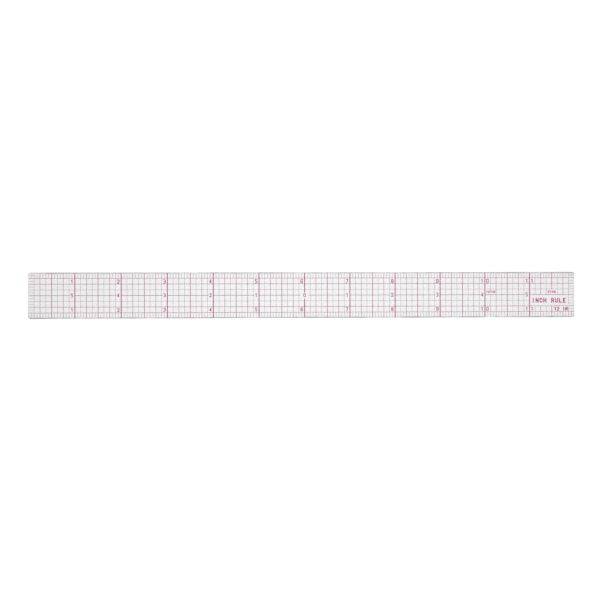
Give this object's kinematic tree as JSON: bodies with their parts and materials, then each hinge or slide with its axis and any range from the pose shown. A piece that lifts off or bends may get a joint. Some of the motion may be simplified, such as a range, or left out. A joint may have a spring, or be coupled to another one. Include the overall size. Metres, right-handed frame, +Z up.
{
  "type": "quilting ruler",
  "caption": "Clear flat rule with bevelled long edges and a magenta printed inch grid, for marking and squaring seam lines.",
  "frame": {"origin": "middle of the flat underside that the ruler lies on", "axes": "+X along the length, the way the numbers read; +Y across the width, towards the upper numbered edge; +Z up through the cover sheet"},
  "size_m": [0.3048, 0.0254, 0.0008],
  "materials": {
    "clear_base": "clear, polished, very faint green cast",
    "clear_cover": "clear gloss laminate film, long edges machined to a bevel",
    "print_ink": "one coat of magenta printing ink sealed under the cover"
  },
  "bodies": {
    "root": {"clear_base_sheet": "clear_base", "clear_cover_sheet": "clear_cover", "ink_inch_lines": "print_ink", "ink_half_inch_lines": "print_ink", "ink_quarter_inch_lines": "print_ink", "ink_eighth_inch_lines": "print_ink", "ink_long_centre_line": "print_ink", "ink_long_quarter_lines": "print_ink", "ink_long_eighth_lines": "print_ink", "ink_upper_edge_ticks": "print_ink", "ink_lower_edge_ticks": "print_ink", "ink_left_end_ticks": "print_ink", "ink_right_end_ticks": "print_ink", "ink_upper_numerals": "print_ink", "ink_centre_numerals": "print_ink", "ink_lower_numerals": "print_ink", "ink_title": "print_ink", "ink_length_mark": "print_ink", "ink_grid_note": "print_ink", "ink_tick_note": "print_ink"}
  },
  "joints": []
}
